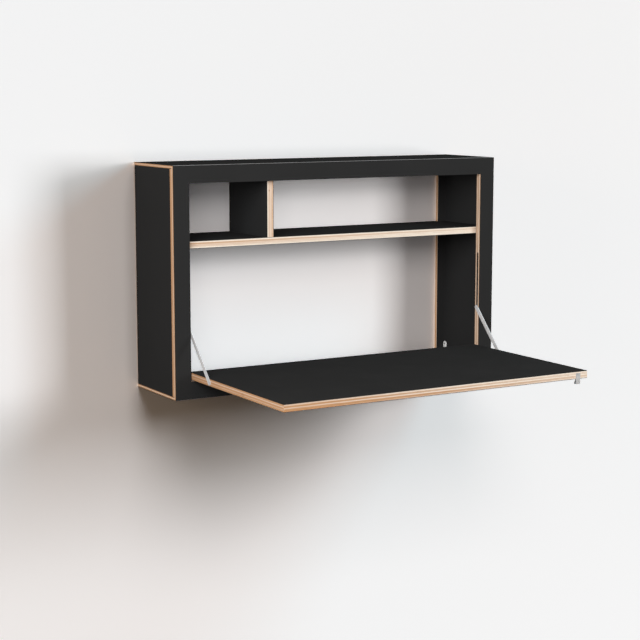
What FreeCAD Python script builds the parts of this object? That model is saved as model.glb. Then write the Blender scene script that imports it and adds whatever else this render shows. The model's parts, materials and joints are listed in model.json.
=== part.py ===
import FreeCAD, Part
import os
from math import asin, degrees, hypot, sqrt

Vector = FreeCAD.Vector

# Sizes are in millimetres. X runs to the right, Y runs to the wall, Z runs up.
# The origin is on the wall plane, in the middle of the four wall screws.

# Case
case_width = 1000.0
case_height = 604.0
case_depth = 238.0

# Boards: a plywood core with a laminate sheet on both faces
thick_core = 17.2
thin_core = 6.6
laminate = 1.2
thick_board = thick_core + 2 * laminate
thin_board = thin_core + 2 * laminate

# Front frame
stile_width = 45.0
rail_height = 46.5
mitre_arris = 0.6

# Shelf and divider
shelf_height = 408.3
shelf_setback = 0.4
divider_place = 280.0
notch_gap = 0.3

# Wall battens and the screw holes in them
batten_width = 25.0
batten_thickness = 12.0
wall_hole_radius = 3.25
wall_hole_inset = 25.0

# Flap and its hinge
flap_tail = 8.5
flap_top_gap = 2.5
rail_clearance = 0.5
hinge_pin_radius = 4.0
hinge_pin_bite = 20.0
hinge_pin_reach = 14.0
bush_wall = 2.5
bush_length = 16.0

# Stays
stay_arm = 110.0
stay_length = 161.0
stay_width = 12.0
stay_thickness = 2.0
stay_eye_radius = 6.5
stay_flap_gap = 0.4
stay_frame_gap = 0.6
stay_screw_radius = 2.0
stay_screw_head_radius = 3.6
stay_screw_head_height = 1.2
stay_screw_bite = 22.0
stay_pin_radius = 2.0

# Grooves in the stiles, and the glides that run in them
groove_width = 7.5
groove_depth = 11.0
glide_gap = 0.2
glide_end_gap = 0.3

# Pull tab on the flap's front edge, and the magnet over it
tab_width = 15.0
tab_thickness = 1.6
tab_upper_height = 15.0
tab_drop = 13.5
tab_foot_depth = 7.5
tab_foot_round = 1.2
tab_inset = 30.0
tab_screw_radius = 1.75
tab_screw_head_radius = 3.4
tab_screw_bite = 20.0
magnet_radius = 5.0
magnet_bite = 8.0

# Corner brackets
bracket_leg = 39.5
bracket_width = 15.0
bracket_thickness = 2.0
bracket_batten_gap = 1.0
bracket_screw_radius = 1.5
bracket_screw_head_radius = 3.0
bracket_screw_head_height = 1.5
bracket_screw_bite = 5.5
bracket_hole_shares = (0.40, 0.80)

# Dowels
thin_dowel_radius = 2.5
thin_dowel_bite = 10.0
shelf_dowel_radius = 3.0
shelf_dowel_bite = 16.0
panel_bite_share = 0.65
dowel_place_shares = (0.25, 0.75)

# Cross recess in a screw's head, as shares of the head's radius and height
recess_reach_share = 0.56
recess_half_width_share = 0.13
recess_depth_share = 0.60

# Fits
running_gap = 0.05
glue_gap = 0.02
overrun = 5.0

# Outer planes of the case
left = -case_width / 2
right = case_width / 2
bottom = -case_height / 2
top = case_height / 2
front = -case_depth
wall = 0.0

# Planes and lengths that follow from the sizes above
frame_back = front + thick_board
opening_half = case_width / 2 - stile_width
opening_bottom = bottom + rail_height
opening_top = top - rail_height
inner_half = case_width / 2 - thin_board
floor_level = bottom + thin_board
ceiling_level = top - thin_board
boards_front = frame_back + shelf_setback
shelf_top = bottom + shelf_height
shelf_bottom = shelf_top - thick_board
shelf_middle = shelf_top - thick_board / 2
divider_left = left + divider_place
divider_right = divider_left + thick_board
divider_middle = divider_left + thick_board / 2
batten_front = wall - batten_thickness
batten_inner = inner_half - batten_width

hinge_y = front + thick_board / 2
hinge_z = opening_bottom + rail_clearance + hypot(thick_board / 2, flap_tail)
flap_gap = stay_flap_gap + stay_thickness + stay_frame_gap
flap_half = opening_half - flap_gap
flap_reach = opening_top - flap_top_gap - hinge_z
flap_front = hinge_y - flap_reach
flap_back = hinge_y + flap_tail
flap_under = hinge_z - thick_board / 2
flap_over = hinge_z + thick_board / 2

stay_y = hinge_y - stay_arm
stay_rise = sqrt(stay_length ** 2 - stay_arm ** 2)
stay_slope = degrees(asin(stay_arm / stay_length))
glide_low = hinge_z + stay_rise
glide_high = hinge_z + stay_arm + stay_length
stay_near = flap_half + stay_flap_gap
stay_far = stay_near + stay_thickness

tab_middle = flap_half - tab_inset
side_middle = case_width / 2 - thin_board / 2
panel_bite = thin_board * panel_bite_share
bracket_back = batten_front - bracket_batten_gap
bracket_middle = bracket_back - bracket_width / 2

SIDES = ((-1, "left"), (1, "right"))


def block(x, y, z):
    """A box between two planes on each axis."""
    return Part.makeBox(x[1] - x[0], y[1] - y[0], z[1] - z[0], Vector(x[0], y[0], z[0]))


def mirrored(side, near, far):
    """The span between two distances from the middle, on the left (-1) or the right (1)."""
    return tuple(sorted((side * near, side * far)))


def bar_x(points, x):
    """A straight bar along X whose section is drawn in the Y and Z plane."""
    corners = [Vector(x[0], y, z) for y, z in points]
    face = Part.Face(Part.makePolygon(corners + corners[:1]))
    return face.extrude(Vector(x[1] - x[0], 0, 0))


def rod_x(radius, side, near, far, y, z):
    """A round rod along X from one distance from the middle to another."""
    return Part.makeCylinder(radius, far - near, Vector(side * near, y, z), Vector(side, 0, 0))


def layered(x, y, z, across):
    """A board as three solids, first skin, core and second skin, stacked along one axis."""
    spans = [x, y, z]
    low, high = spans[across]
    planes = (low, low + laminate, high - laminate, high)
    layers = []
    for start, end in zip(planes, planes[1:]):
        spans[across] = (start, end)
        layers.append(block(*spans))
    return layers


def carve(layers, cutters):
    """Every layer of a board with the same holes cut through it."""
    return [layer.cut(cutters) for layer in layers]


def save(node, shapes):
    """Write one node, as a single solid or as a group of solids."""
    solids = [solid for shape in shapes for solid in shape.Solids]
    group = solids[0] if len(solids) == 1 else Part.makeCompound(solids)
    group.exportStep("parts/" + node + ".step")


def save_board(node, layers):
    """Write a board's core and its two laminate sheets as two nodes."""
    save(node, layers[1:2])
    save(node + "_laminate", (layers[0], layers[2]))


def between(low, high, shares):
    """Places at the given shares of a span."""
    return [low + share * (high - low) for share in shares]


def edge_arris(level, inward):
    """The broken edge along the case's front, at the top (-1 inward) or at the bottom (1)."""
    outside = level - inward * overrun
    inside = level + inward * mitre_arris
    points = [(front - overrun, outside), (front + mitre_arris, outside), (front + mitre_arris, level),
              (front, inside), (front - overrun, inside)]
    return bar_x(points, (left - overrun, right + overrun))


def mitre_prism(level, inward, wide):
    """The wedge that a thin panel takes out of the frame, or with wide off, the frame out of the panel."""
    tip = (front, level)
    heel = (front + thin_board, level + inward * thin_board)
    if wide:
        rest = [(frame_back + overrun, heel[1]), (frame_back + overrun, level - inward * overrun),
                (front, level - inward * overrun)]
    else:
        rest = [(heel[0], heel[1] + inward * overrun), (front - overrun, heel[1] + inward * overrun),
                (front - overrun, level)]
    return bar_x([tip, heel] + rest, (left - overrun, right + overrun))


def side_dowels():
    """Dowels of the side panels: into the top, the bottom and the back of the front frame."""
    dowels = []
    radius = thin_dowel_radius
    length = panel_bite + thin_dowel_bite
    for side, _ in SIDES:
        x = side * side_middle
        for y in between(frame_back, batten_front, dowel_place_shares):
            dowels.append((radius, length, Vector(x, y, floor_level - panel_bite), Vector(0, 0, 1)))
            dowels.append((radius, length, Vector(x, y, ceiling_level + panel_bite), Vector(0, 0, -1)))
        for z in between(floor_level, ceiling_level, dowel_place_shares):
            start = Vector(x, frame_back - thin_dowel_bite, z)
            dowels.append((radius, 2 * thin_dowel_bite, start, Vector(0, 1, 0)))
    return dowels


def shelf_end_dowels():
    """Dowels between the shelf's ends and the side panels."""
    dowels = []
    for side, _ in SIDES:
        for y in between(boards_front, batten_front, dowel_place_shares):
            start = Vector(side * (inner_half + panel_bite), y, shelf_middle)
            dowels.append((shelf_dowel_radius, panel_bite + shelf_dowel_bite, start, Vector(-side, 0, 0)))
    return dowels


def divider_end_dowels():
    """Dowels between the divider's ends, the shelf and the top panel."""
    dowels = []
    for y in between(boards_front, wall, dowel_place_shares):
        low = Vector(divider_middle, y, shelf_top - panel_bite)
        high = Vector(divider_middle, y, ceiling_level + panel_bite)
        dowels.append((shelf_dowel_radius, panel_bite + shelf_dowel_bite, low, Vector(0, 0, 1)))
        dowels.append((shelf_dowel_radius, panel_bite + shelf_dowel_bite, high, Vector(0, 0, -1)))
    return dowels


def dowel_solids(dowels):
    """The dowels themselves."""
    return [Part.makeCylinder(*dowel) for dowel in dowels]


def dowel_holes(dowels):
    """The holes for a set of dowels, wider than the dowels by the glue's gap."""
    return [Part.makeCylinder(radius + glue_gap, length, start, direction)
            for radius, length, start, direction in dowels]


def groove(side):
    """The groove in a stile's inner edge, round at both ends, for the stay's glide."""
    half = groove_width / 2
    x = mirrored(side, opening_half - overrun, opening_half + groove_depth)
    slot = block(x, (hinge_y - half, hinge_y + half), (glide_low - glide_gap, glide_high + glide_gap))
    for z in (glide_low - glide_gap, glide_high + glide_gap):
        slot = slot.fuse(rod_x(half, side, opening_half - overrun, opening_half + groove_depth, hinge_y, z))
    return slot


def hinge_pin(side, radius):
    """A hinge pin, or its hole in the stile, from the stile to inside the flap."""
    return rod_x(radius, side, flap_half - hinge_pin_reach, opening_half + hinge_pin_bite, hinge_y, hinge_z)


def catch_magnet(radius):
    """The round magnet, or its hole, let flush into the top rail's underside over the tab."""
    return Part.makeCylinder(radius, magnet_bite, Vector(tab_middle, hinge_y, opening_top), Vector(0, 0, 1))


def front_frame():
    """The ring panel: mitred into the top and bottom, with grooves, pin holes and a magnet hole."""
    layers = layered((left, right), (front, frame_back), (bottom, top), 1)
    opening = block((-opening_half, opening_half), (front - overrun, frame_back + overrun),
                    (opening_bottom, opening_top))
    cutters = [opening, mitre_prism(top, -1, True), mitre_prism(bottom, 1, True)]
    cutters += [edge_arris(top, -1), edge_arris(bottom, 1), catch_magnet(magnet_radius + glue_gap)]
    cutters += dowel_holes(side_dowels())
    for side, _ in SIDES:
        cutters += [groove(side), hinge_pin(side, hinge_pin_radius + glue_gap)]
    return carve(layers, cutters)


def level_panel(level, inward):
    """The top panel (level at the top, inward -1) or the bottom panel (inward 1)."""
    z = tuple(sorted((level, level + inward * thin_board)))
    layers = layered((left, right), (front, wall), z, 2)
    cutters = [mitre_prism(level, inward, False), edge_arris(level, inward)]
    cutters += dowel_holes(side_dowels() + divider_end_dowels()) + bracket_screw_holes()
    return carve(layers, cutters)


def side_panel(side):
    """A side panel, set between top and bottom behind the front frame."""
    x = mirrored(side, inner_half, case_width / 2)
    layers = layered(x, (frame_back, wall), (floor_level, ceiling_level), 0)
    return carve(layers, dowel_holes(side_dowels() + shelf_end_dowels()) + bracket_screw_holes())


def shelf():
    """The shelf, notched round the wall battens at its rear corners."""
    layers = layered((-inner_half, inner_half), (boards_front, wall), (shelf_bottom, shelf_top), 2)
    z = (shelf_bottom - overrun, shelf_top + overrun)
    cutters = dowel_holes(shelf_end_dowels() + divider_end_dowels())
    for side, _ in SIDES:
        x = mirrored(side, batten_inner - notch_gap, case_width / 2)
        cutters.append(block(x, (batten_front - notch_gap, wall + overrun), z))
    return carve(layers, cutters)


def divider():
    """The upright board between the shelf and the top panel."""
    layers = layered((divider_left, divider_right), (boards_front, wall), (shelf_top, ceiling_level), 0)
    return carve(layers, dowel_holes(divider_end_dowels()))


def wall_batten(side):
    """A batten in a rear corner, laminated on its front, with two screw holes to the wall."""
    x = mirrored(side, batten_inner, inner_half)
    z = (floor_level, ceiling_level)
    sheet_back = batten_front + laminate
    holes = [Part.makeCylinder(wall_hole_radius, batten_thickness, Vector(sum(x) / 2, batten_front, level),
                               Vector(0, 1, 0)) for level in (bottom + wall_hole_inset, top - wall_hole_inset)]
    return carve([block(x, (sheet_back, wall), z), block(x, (batten_front, sheet_back), z)], holes)


def cross_recess(start, into, head_radius, head_height):
    """The cross that a screwdriver turns, sunk in a screw's head."""
    reach = (-head_radius * recess_reach_share, head_radius * recess_reach_share)
    width = (-head_radius * recess_half_width_share, head_radius * recess_half_width_share)
    depth = (-overrun, head_height * recess_depth_share)
    cross = block(reach, width, depth).fuse(block(width, reach, depth))
    cross.Placement = FreeCAD.Placement(start, FreeCAD.Rotation(Vector(0, 0, 1), into))
    return cross


def bracket_screw_places():
    """Where the bracket screws go in: their start on the leg and their direction into the board."""
    places = []
    for side, _ in SIDES:
        for along in between(0, bracket_leg, bracket_hole_shares):
            leg_face = Vector(side * (inner_half - bracket_thickness), bracket_middle, floor_level + along)
            foot_face = Vector(side * (inner_half - along), bracket_middle, floor_level + bracket_thickness)
            places += [(leg_face, Vector(side, 0, 0)), (foot_face, Vector(0, 0, -1))]
    return places


def bracket_screw(start, direction, gap):
    """One countersunk bracket screw, or its hole when a gap is given."""
    head = Part.makeCone(bracket_screw_head_radius + gap, bracket_screw_radius + gap,
                         bracket_screw_head_height, start, direction)
    length = bracket_thickness + bracket_screw_bite
    return head.fuse(Part.makeCylinder(bracket_screw_radius + gap, length, start, direction))


def bracket_screws():
    """All bracket screws, with the cross in their heads."""
    return [bracket_screw(start, into, 0).cut(
        cross_recess(start, into, bracket_screw_head_radius, bracket_screw_head_height))
            for start, into in bracket_screw_places()]


def bracket_screw_holes():
    """The holes for all bracket screws."""
    return [bracket_screw(start, direction, glue_gap) for start, direction in bracket_screw_places()]


def corner_bracket(side):
    """A metal angle with round ends, on the side panel and on the bottom panel."""
    half = bracket_width / 2
    y = (bracket_middle - half, bracket_middle + half)
    straight = bracket_leg - half
    inner = inner_half - bracket_thickness
    plate = floor_level + bracket_thickness
    leg = block(mirrored(side, inner, inner_half), y, (floor_level, floor_level + straight))
    leg_end = rod_x(half, side, inner, inner_half, bracket_middle, floor_level + straight)
    foot = block(mirrored(side, inner_half - straight, inner_half), y, (floor_level, plate))
    foot_end = Part.makeCylinder(half, bracket_thickness,
                                 Vector(side * (inner_half - straight), bracket_middle, floor_level))
    angle = leg.fuse([leg_end, foot, foot_end]).removeSplitter()
    return angle.cut(bracket_screw_holes())


def hinge_bush(side):
    """A bush in the flap's side edge that turns on the hinge pin."""
    near = flap_half - bush_length
    outside = rod_x(hinge_pin_radius + bush_wall, side, near, flap_half, hinge_y, hinge_z)
    return outside.cut(rod_x(hinge_pin_radius + running_gap, side, near, flap_half, hinge_y, hinge_z))


def tab_screw(gap):
    """The countersunk screw of the pull tab, or its hole when a gap is given."""
    start = Vector(tab_middle, flap_front, hinge_z)
    into = Vector(0, 1, 0)
    head = Part.makeCone(tab_screw_head_radius + gap, tab_screw_radius + gap, tab_thickness, start, into)
    return head.fuse(Part.makeCylinder(tab_screw_radius + gap, tab_screw_bite, start, into))


def pull_tab_screw():
    """The pull tab's screw, with the cross in its head."""
    start = Vector(tab_middle, flap_front, hinge_z)
    return tab_screw(0).cut(cross_recess(start, Vector(0, 1, 0), tab_screw_head_radius, tab_thickness))


def flap():
    """The flap, level as when open: raw edges, bush holes, stay screw holes and the tab's recess."""
    layers = layered((-flap_half, flap_half), (flap_front, flap_back), (flap_under, flap_over), 2)
    tab_x = (tab_middle - tab_width / 2 - glue_gap, tab_middle + tab_width / 2 + glue_gap)
    recess = block(tab_x, (flap_front - overrun, flap_front + tab_thickness),
                   (flap_under - overrun, flap_under + tab_upper_height + glue_gap))
    cutters = [recess, tab_screw(glue_gap)]
    for side, _ in SIDES:
        near = flap_half - bush_length
        far = flap_half + overrun
        cutters.append(rod_x(hinge_pin_radius + bush_wall + glue_gap, side, near, far, hinge_y, hinge_z))
        near = flap_half - stay_screw_bite
        cutters.append(rod_x(stay_screw_radius + glue_gap, side, near, far, stay_y, hinge_z))
    return carve(layers, cutters)


def pull_tab():
    """The pull: a plate let into the flap's front edge that thickens to a foot below the flap."""
    back = flap_front + tab_thickness
    foot = flap_under - tab_drop
    points = [(flap_front, flap_under + tab_upper_height), (back, flap_under + tab_upper_height),
              (back, flap_under), (flap_front + tab_foot_depth, foot), (flap_front, foot)]
    x = (tab_middle - tab_width / 2, tab_middle + tab_width / 2)
    tab = bar_x(points, x)
    low_edges = [edge for edge in tab.Edges if edge.BoundBox.ZMax < foot + tab_foot_round]
    return tab.makeFillet(tab_foot_round, low_edges).cut(tab_screw(running_gap))


def stay_screw(side):
    """The shouldered screw in the flap's side edge that a stay turns on, with its head sunk in the stay."""
    shank = rod_x(stay_screw_radius, side, flap_half - stay_screw_bite, stay_far, stay_y, hinge_z)
    start = Vector(side * stay_far, stay_y, hinge_z)
    recess = cross_recess(start, Vector(-side, 0, 0), stay_screw_head_radius, stay_screw_head_height)
    return shank.fuse(stay_screw_head(side, 0)).cut(recess)


def stay_screw_head(side, gap):
    """The sunk head of the stay's screw, or its seat when a gap is given."""
    start = Vector(side * (stay_far - stay_screw_head_height), stay_y, hinge_z)
    return Part.makeCone(stay_screw_radius + gap, stay_screw_head_radius + gap, stay_screw_head_height,
                         start, Vector(side, 0, 0))


def stay(side):
    """A flat bar with round eyes, leaning from the flap back to the frame's groove."""
    half = stay_width / 2
    x = mirrored(side, stay_near, stay_far)
    bar = block(x, (stay_y - half, stay_y + half), (hinge_z, hinge_z + stay_length))
    eyes = [rod_x(stay_eye_radius, side, stay_near, stay_far, stay_y, z)
            for z in (hinge_z, hinge_z + stay_length)]
    bar = bar.fuse(eyes).removeSplitter()
    bar = bar.cut(rod_x(stay_pin_radius + glue_gap, side, stay_near, stay_far, stay_y, hinge_z + stay_length))
    bar.rotate(Vector(0, stay_y, hinge_z), Vector(1, 0, 0), -stay_slope)
    shank_hole = rod_x(stay_screw_radius + running_gap, side, stay_near, stay_far, stay_y, hinge_z)
    return bar.cut([shank_hole, stay_screw_head(side, running_gap)])


def stay_pin(side):
    """The flush pin in a stay's upper eye."""
    return rod_x(stay_pin_radius, side, stay_near, stay_far, hinge_y, glide_low)


def stay_glide(side):
    """The round glide in a stile's groove, just clear of the stay's upper eye."""
    near = stay_far + glide_end_gap
    far = opening_half + groove_depth - glide_gap
    return rod_x(groove_width / 2 - glide_gap, side, near, far, hinge_y, glide_low)


def main():
    os.makedirs("parts", exist_ok=True)
    save_board("front_frame", front_frame())
    save_board("top_panel", level_panel(top, -1))
    save_board("bottom_panel", level_panel(bottom, 1))
    save_board("shelf", shelf())
    save_board("divider", divider())
    save_board("flap", flap())
    save("case_dowels", dowel_solids(side_dowels()))
    save("shelf_dowels", dowel_solids(shelf_end_dowels()))
    save("divider_dowels", dowel_solids(divider_end_dowels()))
    save("bracket_screws", bracket_screws())
    save("catch_magnet", [catch_magnet(magnet_radius)])
    save("pull_tab", [pull_tab()])
    save("pull_tab_screw", [pull_tab_screw()])
    for side, name in SIDES:
        save_board("side_panel_" + name, side_panel(side))
        core, sheet = wall_batten(side)
        save("wall_batten_" + name, [core])
        save("wall_batten_" + name + "_laminate", [sheet])
        save("corner_bracket_" + name, [corner_bracket(side)])
        save("hinge_pin_" + name, [hinge_pin(side, hinge_pin_radius)])
        save("hinge_bush_" + name, [hinge_bush(side)])
        save("stay_" + name, [stay(side)])
        save("stay_screw_" + name, [stay_screw(side)])
        save("stay_pin_" + name, [stay_pin(side)])
        save("stay_glide_" + name, [stay_glide(side)])


main()
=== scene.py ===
import json
import math

import bmesh
import bpy
from bpy.props import FloatProperty, FloatVectorProperty, PointerProperty
from bpy.types import Operator, Panel, PropertyGroup
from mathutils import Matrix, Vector

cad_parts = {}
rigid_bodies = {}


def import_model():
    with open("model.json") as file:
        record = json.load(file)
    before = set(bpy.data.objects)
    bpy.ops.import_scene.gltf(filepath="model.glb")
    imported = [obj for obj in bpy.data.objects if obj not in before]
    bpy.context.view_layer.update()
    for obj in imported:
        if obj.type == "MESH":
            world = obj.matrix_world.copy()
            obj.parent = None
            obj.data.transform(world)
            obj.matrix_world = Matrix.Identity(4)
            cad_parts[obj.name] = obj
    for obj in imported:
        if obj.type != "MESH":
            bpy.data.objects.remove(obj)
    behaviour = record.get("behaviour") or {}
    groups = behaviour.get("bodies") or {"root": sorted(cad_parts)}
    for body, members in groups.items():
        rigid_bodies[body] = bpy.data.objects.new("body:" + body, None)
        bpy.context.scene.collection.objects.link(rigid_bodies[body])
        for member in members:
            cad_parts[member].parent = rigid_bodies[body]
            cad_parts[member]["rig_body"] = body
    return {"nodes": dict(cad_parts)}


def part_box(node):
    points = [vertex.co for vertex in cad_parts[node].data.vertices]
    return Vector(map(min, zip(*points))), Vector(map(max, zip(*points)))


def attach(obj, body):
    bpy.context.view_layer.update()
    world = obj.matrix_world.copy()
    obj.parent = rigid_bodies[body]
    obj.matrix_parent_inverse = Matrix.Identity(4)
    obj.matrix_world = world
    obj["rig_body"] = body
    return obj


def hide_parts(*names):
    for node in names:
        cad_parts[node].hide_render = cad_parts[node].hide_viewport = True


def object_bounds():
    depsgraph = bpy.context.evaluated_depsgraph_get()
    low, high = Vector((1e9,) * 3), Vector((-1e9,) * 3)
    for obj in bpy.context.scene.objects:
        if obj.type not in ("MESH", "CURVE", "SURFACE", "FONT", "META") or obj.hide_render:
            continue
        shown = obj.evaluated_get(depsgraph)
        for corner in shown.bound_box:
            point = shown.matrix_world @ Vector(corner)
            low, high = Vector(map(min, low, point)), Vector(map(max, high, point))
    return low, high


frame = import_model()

bl_info = {
    "name": "Fold Down Wall Desk",
    "version": (1, 0, 0),
    "blender": (4, 5, 0),
    "location": "3D View > Sidebar > Wall Desk",
    "description": "Finishes, rounded metal pieces and photo stage for a wall desk with a fold-down flap",
    "category": "Object",
}

CAD_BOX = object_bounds()
X, Y, Z = range(3)
SIDES = ("left", "right")

# Each board's plywood core: the axis across its veneers, the axis that its face grain runs along, and how tan
# it is at its left end, at its right end and on its end-grain edges, where that differs.
# A board that pales from left to right shows partly its own tone and partly painted light from the right
BOARDS = {
    "front_frame": (Y, X, (0.37, -0.16, None)),
    "top_panel": (Z, X, (0.33, 0.33, None)),
    "bottom_panel": (Z, X, (0.33, 0.33, None)),
    "side_panel_left": (X, Z, (0.33, 0.33, None)),
    "side_panel_right": (X, Z, (0.33, 0.33, None)),
    "shelf": (Z, X, (-0.12, -0.70, None)),
    "divider": (X, Z, (0.06, 0.06, None)),
    "flap": (Z, X, (0.56, -0.46, 0.28)),
    # The battens' deep tan is partly painted shade near the wall
    "wall_batten_left": (Y, Z, (0.62, 0.62, None)),
    "wall_batten_right": (Y, Z, (0.62, 0.62, None)),
}

# Roughness of each metal piece
SATIN = {
    "stay": 0.50,
    "stay_screw": 0.32,
    "stay_pin": 0.34,
    "hinge_pin": 0.30,
    "hinge_bush": 0.36,
    "bracket": 0.62,
    "bracket_screw": 0.32,
    "pull_tab": 0.60,
    "tab_screw": 0.50,
    "magnet": 0.22,
}

FLOAT = "NodeSocketFloat"
COLOR = "NodeSocketColor"
VECTOR = "NodeSocketVector"
WHITE = (1.0, 1.0, 1.0)
QUARTER_TURN = math.pi / 2


# Settings

def color_setting(name, description, default):
    """A colour that a user may change."""
    return FloatVectorProperty(
        name=name, description=description, default=default, subtype="COLOR", size=3, min=0.0, max=1.0
    )


def length_setting(name, description, default):
    """A length in metres that a user may change."""
    return FloatProperty(
        name=name, description=description, default=default, unit="LENGTH", min=0.0, precision=5
    )


def share_setting(name, description, default):
    """A share from 0 to 1 that a user may change."""
    return FloatProperty(
        name=name, description=description, default=default, subtype="FACTOR", min=0.0, max=1.0
    )


def place_setting(name, description, default):
    """A point in the desk's frame that a user may change."""
    return FloatVectorProperty(
        name=name, description=description, default=default, subtype="XYZ", unit="LENGTH", size=3
    )


def angle_setting(name, description, degrees):
    """An angle that a user may change."""
    return FloatProperty(
        name=name, description=description, default=math.radians(degrees), subtype="ANGLE", unit="ROTATION"
    )


def power_setting(name, description, default):
    """A lamp's power in watts that a user may change."""
    return FloatProperty(name=name, description=description, default=default, unit="POWER", min=0.0)


class LaminateSettings(PropertyGroup):
    """The black sheets on the faces of every board."""

    sheet: color_setting("Sheet", "Black of the laminate", (0.0250, 0.0251, 0.0252))
    # Partly a painted highlight: the broken arris is drawn this pale grey for its core and for the light it
    # catches
    arris: color_setting("Arris", "Paler core that shows along a broken arris", (0.35, 0.35, 0.35))
    dust: color_setting("Dust", "Settled dust", (0.30, 0.29, 0.28))
    worn: color_setting("Worn Edge", "Rubbed edges of the sheet", (0.032, 0.0315, 0.031))
    pore: length_setting("Pore", "Size of the sheet's fine pores", 0.0007)
    wear_reach: length_setting("Wear Reach", "How far rubbing reaches in from an edge", 0.0012)
    dust_share: share_setting("Dust Share", "How much of a dust speck's colour shows", 0.06)
    matt: share_setting("Matt", "Roughness of the sheet", 0.88)


class PlywoodSettings(PropertyGroup):
    """The raw birch edges of every board."""

    pale: color_setting("Pale Veneer", "Long-grain birch", (0.81, 0.715, 0.60))
    tan: color_setting("Tan Veneer", "End-grain birch", (0.48, 0.255, 0.12))
    glue: color_setting("Glue Line", "Line between two veneers", (0.27, 0.12, 0.05))
    # Painted shade: the inside of the front frame's grooves is drawn this dark
    groove_shade: color_setting("Groove", "Rubbed and dusty inside of the grooves", (0.03, 0.016, 0.010))
    veneer: length_setting("Veneer", "Thickness of one veneer, about", 0.0032)
    knot: place_setting("Knot", "Middle of the knot in the flap's left edge", (-0.452, -0.518, -0.243))
    knot_length: length_setting("Knot Length", "Half length of the knot", 0.011)
    knot_height: length_setting("Knot Height", "Half height of the knot", 0.0042)


class FittingSettings(PropertyGroup):
    """Metal, nylon and dowel pieces."""

    steel: color_setting("Steel", "Satin stays and pins", (0.60, 0.605, 0.61))
    tab: color_setting("Tab", "Satin pull tab", (0.36, 0.36, 0.355))
    bracket: color_setting("Bracket", "Pale plated corner brackets", (0.86, 0.86, 0.85))
    matt_metal: share_setting("Matt Metal", "How metallic the matt steel is", 0.35)
    dull_metal: share_setting("Dull Metal", "How metallic the pale plating is", 0.1)
    # Painted shade: the pull tab's left and right sides are drawn this dark
    side_shade: color_setting("Sheared Edge", "Dark cut sides of the pull tab", (0.03, 0.03, 0.03))
    zinc: color_setting("Zinc", "Plated screws", (0.58, 0.59, 0.60))
    brass: color_setting("Brass", "Hinge bushes", (0.70, 0.52, 0.25))
    nickel: color_setting("Nickel", "Plated magnet", (0.66, 0.63, 0.58))
    nylon: color_setting("Nylon", "Glides", (0.72, 0.70, 0.66))
    beech: color_setting("Beech", "Pale streaks of the dowels", (0.71, 0.50, 0.33))
    beech_fleck: color_setting("Beech Fleck", "Darker streaks of the dowels", (0.48, 0.29, 0.16))
    edge_round: length_setting("Edge Round", "Rounding of stamped metal edges", 0.0003)


class StageSettings(PropertyGroup):
    """Wall, floor, lamps and camera."""

    wall: color_setting("Wall", "Pale wall and floor", (0.92, 0.92, 0.92))
    wall_gap: length_setting("Wall Gap", "Wall behind the desk's back", 0.0015)
    floor_drop: length_setting("Floor Drop", "Floor below the middle of the case", 1.6)
    stage_reach: length_setting("Stage Reach", "Half width of wall and floor", 9.0)
    key_place: place_setting("Key Place", "Soft lamp in front, to the right", (1.564, -2.128, 0.437))
    key_size: length_setting("Key Size", "Side of the soft lamp", 0.85)
    key_power: power_setting("Key Power", "Power of the soft lamp", 25.6)
    key_tint: color_setting("Key Tint", "Colour of the soft lamp", (1.0, 0.95, 0.92))
    high_place: place_setting("High Place", "Lamp up to the right", (1.63, -1.501, 1.342))
    high_size: length_setting("High Size", "Side of the high lamp", 0.9)
    high_power: power_setting("High Power", "Power of the high lamp", 10.0)
    high_tint: color_setting("High Tint", "Colour of the high lamp", (0.55, 0.88, 1.0))
    front_place: place_setting("Front Place", "Lamp in front of the desk", (-0.603, -3.197, 1.352))
    front_size: length_setting("Front Size", "Side of the front lamp", 1.2)
    front_power: power_setting("Front Power", "Power of the front lamp", 18.0)
    front_tint: color_setting("Front Tint", "Colour of the front lamp", (1.0, 0.89, 0.83))
    side_place: place_setting("Side Place", "Broad lamp off to the left", (-4.849, -1.215, 0.868))
    side_size: length_setting("Side Size", "Side of the left lamp", 2.0)
    side_power: power_setting("Side Power", "Power of the left lamp", 22.0)
    side_tint: color_setting("Side Tint", "Colour of the left lamp", (1.0, 0.68, 0.45))
    fill_place: place_setting(
        "Fill Place", "Broad lamp to the left that lights the desk alone", (-2.416, -2.181, 1.042)
    )
    fill_size: length_setting("Fill Size", "Side of the fill lamp", 1.6)
    fill_power: power_setting("Fill Power", "Power of the fill lamp", 89.0)
    fill_tint: color_setting("Fill Tint", "Colour of the fill lamp", (0.955, 0.98, 1.0))
    glow_place: place_setting(
        "Glow Place", "Weak lamp that lights the desk and the wall inside it", (-1.679, -3.047, 0.445)
    )
    glow_size: length_setting("Glow Size", "Side of the weak lamp", 1.6)
    glow_power: power_setting("Glow Power", "Power of the weak lamp", 15.5)
    glow_tint: color_setting("Glow Tint", "Colour of the weak lamp", (1.0, 0.93, 0.91))
    back_distance: length_setting("Back Distance", "How far behind the wall its lamp stands", 3.0)
    back_size: length_setting("Back Size", "Side of the lamp behind the wall", 5.0)
    back_power: power_setting("Back Power", "Power of the lamp behind the wall", 95.0)
    sky: share_setting("Sky", "Even light from all round", 0.035)
    sky_tint: color_setting("Sky Tint", "Colour of the even light", (1.0, 0.72, 0.52))
    camera_place: place_setting("Camera Place", "Where the camera stands", (-2.213, -3.9029, 0.4911))
    camera_yaw: angle_setting("Camera Yaw", "Turn to the right from square-on", 30.31)
    camera_pitch: angle_setting("Camera Pitch", "Tilt below level", 8.22)
    camera_sensor: FloatProperty(
        name="Camera Sensor", description="Width of the sensor, in millimetres", default=36.0, min=1.0
    )
    camera_lens: FloatProperty(
        name="Camera Lens", description="Focal length, in millimetres", default=89.668, min=1.0
    )


# Node trees

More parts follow.
